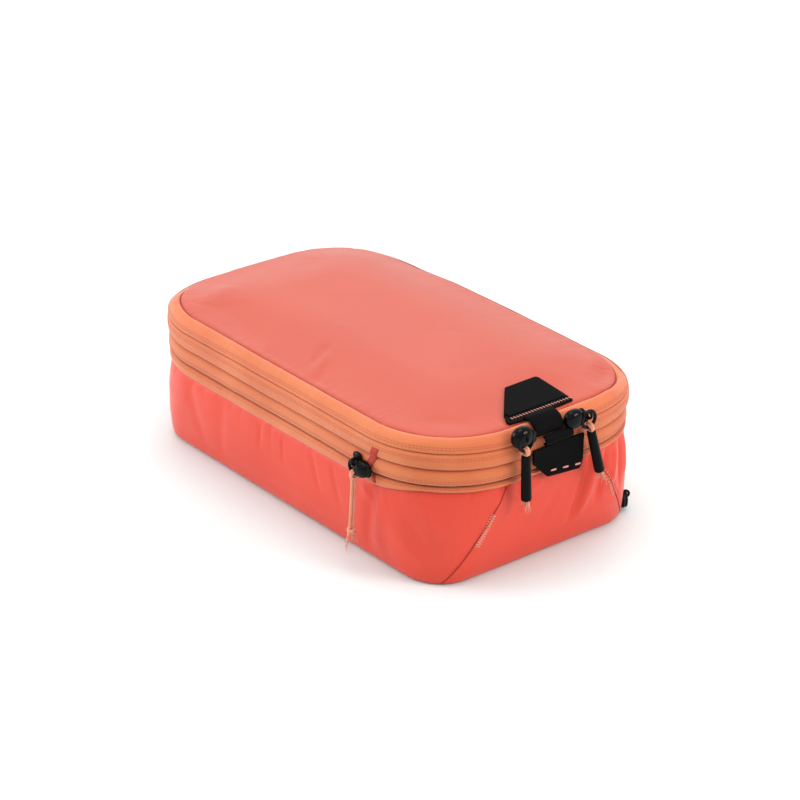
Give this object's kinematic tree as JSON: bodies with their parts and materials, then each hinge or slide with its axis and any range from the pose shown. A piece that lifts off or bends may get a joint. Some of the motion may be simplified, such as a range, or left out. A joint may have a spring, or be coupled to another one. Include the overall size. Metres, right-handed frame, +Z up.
{
  "type": "packing cube",
  "caption": "Soft zipped packing cube with rounded corners, an expansion band, a lid that opens from one end, fold-out grab tabs and corded zip pulls.",
  "frame": {"origin": "on the ground under the middle of the bottom panel", "axes": "+X towards the end with the grab tabs, +Z up, -Y towards the long side with the expansion slider"},
  "size_m": [0.2881, 0.1821, 0.0936],
  "materials": {
    "coral_fabric": "satin",
    "panel_fabric": "satin",
    "zip_tape": "matte",
    "zip_coil": "matte",
    "seam_fabric": "matte",
    "thread": "matte",
    "cord": "matte",
    "tab_rubber": "matte",
    "tube_rubber": "satin",
    "slider_gloss": "gloss",
    "lining": "matte"
  },
  "bodies": {
    "tub": {"bottom_panel": "coral_fabric", "front_wall": "coral_fabric", "back_wall": "coral_fabric", "tab_end_wall": "coral_fabric", "far_end_wall": "coral_fabric", "divider_panel": "lining", "corner_seam_tab_end_front": "seam_fabric", "corner_seam_tab_end_back": "seam_fabric", "corner_seam_far_end_front": "seam_fabric", "corner_seam_far_end_back": "seam_fabric", "bar_tack_front": "thread", "bar_tack_back": "thread", "rear_zip_tape": "zip_tape", "rear_zip_coil": "zip_coil", "expansion_lower_tape": "zip_tape", "expansion_lower_coil": "zip_coil", "zip_end_lower": "coral_fabric", "expansion_gusset": "lining"},
    "zip_frame": {"expansion_upper_tape": "zip_tape", "expansion_upper_coil": "zip_coil", "main_lower_tape": "zip_tape", "main_lower_coil": "zip_coil", "zip_end_upper": "coral_fabric", "lid_hinge_strip": "zip_tape", "lower_tab_roll": "tab_rubber"},
    "lid": {"main_upper_tape": "zip_tape", "main_upper_coil": "zip_coil", "top_panel": "panel_fabric", "panel_seam": "seam_fabric", "upper_tab_base": "tab_rubber", "upper_tab_stitches": "thread", "upper_tab_neck": "tab_rubber"},
    "upper_tab": {"upper_tab_patch": "tab_rubber"},
    "lower_tab": {"lower_tab_patch": "tab_rubber", "lower_tab_stitches": "thread"},
    "left_slider": {"left_slider": "slider_gloss"},
    "left_ring": {"left_ring": "slider_gloss"},
    "left_pull": {"left_cord": "cord", "left_holder": "tube_rubber"},
    "right_slider": {"right_slider": "slider_gloss"},
    "right_ring": {"right_ring": "slider_gloss"},
    "right_pull": {"right_cord": "cord", "right_holder": "tube_rubber"},
    "expansion_slider": {"expansion_slider": "slider_gloss"},
    "expansion_ring": {"expansion_ring": "slider_gloss"},
    "expansion_pull": {"expansion_cord": "cord", "expansion_holder": "cord"},
    "rear_slider": {"rear_slider": "slider_gloss"},
    "rear_ring": {"rear_ring": "slider_gloss"}
  },
  "joints": [
    {"name": "expansion_lift", "type": "slide", "parent": "tub", "child": "zip_frame", "axis": [0, 0, 1], "range_m": [0, 0.06], "deforming": ["expansion_gusset"]},
    {"name": "lid_hinge", "type": "hinge", "parent": "zip_frame", "child": "lid", "pos_m": [-0.1406, 0, 0.081], "axis": [0, -1, 0], "range_deg": [0, 180]},
    {"name": "upper_tab_lift", "type": "hinge", "parent": "lid", "child": "upper_tab", "pos_m": [0.12412, 0, 0.09109], "axis": [0, 1, 0], "range_deg": [0, 110]},
    {"name": "lower_tab_lift", "type": "hinge", "parent": "zip_frame", "child": "lower_tab", "pos_m": [0.142, 0, 0.0759], "axis": [0, -1, 0], "range_deg": [0, 85]},
    {"name": "left_slider_travel", "type": "hinge", "parent": "zip_frame", "child": "left_slider", "pos_m": [0.082, -0.029, 0.081], "axis": [0, 0, -1], "range_deg": [0, 72]},
    {"name": "right_slider_travel", "type": "slide", "parent": "zip_frame", "child": "right_slider", "axis": [0, 1, 0], "range_m": [0, 0.016]},
    {"name": "expansion_slider_travel", "type": "slide", "parent": "tub", "child": "expansion_slider", "axis": [-1, 0, 0], "range_m": [0, 0.16]},
    {"name": "rear_slider_travel", "type": "hinge", "parent": "tub", "child": "rear_slider", "pos_m": [0.10135, 0.04835, 0.0065], "axis": [0, 0, 1], "range_deg": [0, 34]},
    {"name": "left_ring_swing", "type": "hinge", "parent": "left_slider", "child": "left_ring", "pos_m": [0.1454, -0.0275, 0.087], "axis": [0, -1, 0], "range_deg": [0, 85]},
    {"name": "left_pull_swing", "type": "hinge", "parent": "left_ring", "child": "left_pull", "pos_m": [0.1454, -0.02731, 0.07981], "axis": [0, -0.9986, -0.0523], "range_deg": [0, 80]},
    {"name": "right_ring_swing", "type": "hinge", "parent": "right_slider", "child": "right_ring", "pos_m": [0.1454, 0.0185, 0.087], "axis": [0, -1, 0], "range_deg": [0, 85]},
    {"name": "right_pull_swing", "type": "hinge", "parent": "right_ring", "child": "right_pull", "pos_m": [0.1454, 0.01937, 0.07991], "axis": [0, -0.9703, -0.2419], "range_deg": [0, 80]},
    {"name": "expansion_ring_swing", "type": "hinge", "parent": "expansion_slider", "child": "expansion_ring", "pos_m": [0.0795, -0.0924, 0.067], "axis": [-1, 0, 0], "range_deg": [0, 85]},
    {"name": "expansion_pull_swing", "type": "hinge", "parent": "expansion_ring", "child": "expansion_pull", "pos_m": [0.07931, -0.0924, 0.0598], "axis": [-0.9986, 0, 0.0523], "range_deg": [0, 80]},
    {"name": "rear_ring_swing", "type": "hinge", "parent": "rear_slider", "child": "rear_ring", "pos_m": [0.1201, 0.07615, 0.0095], "axis": [0.829, -0.5592, 0], "range_deg": [0, 85]}
  ]
}
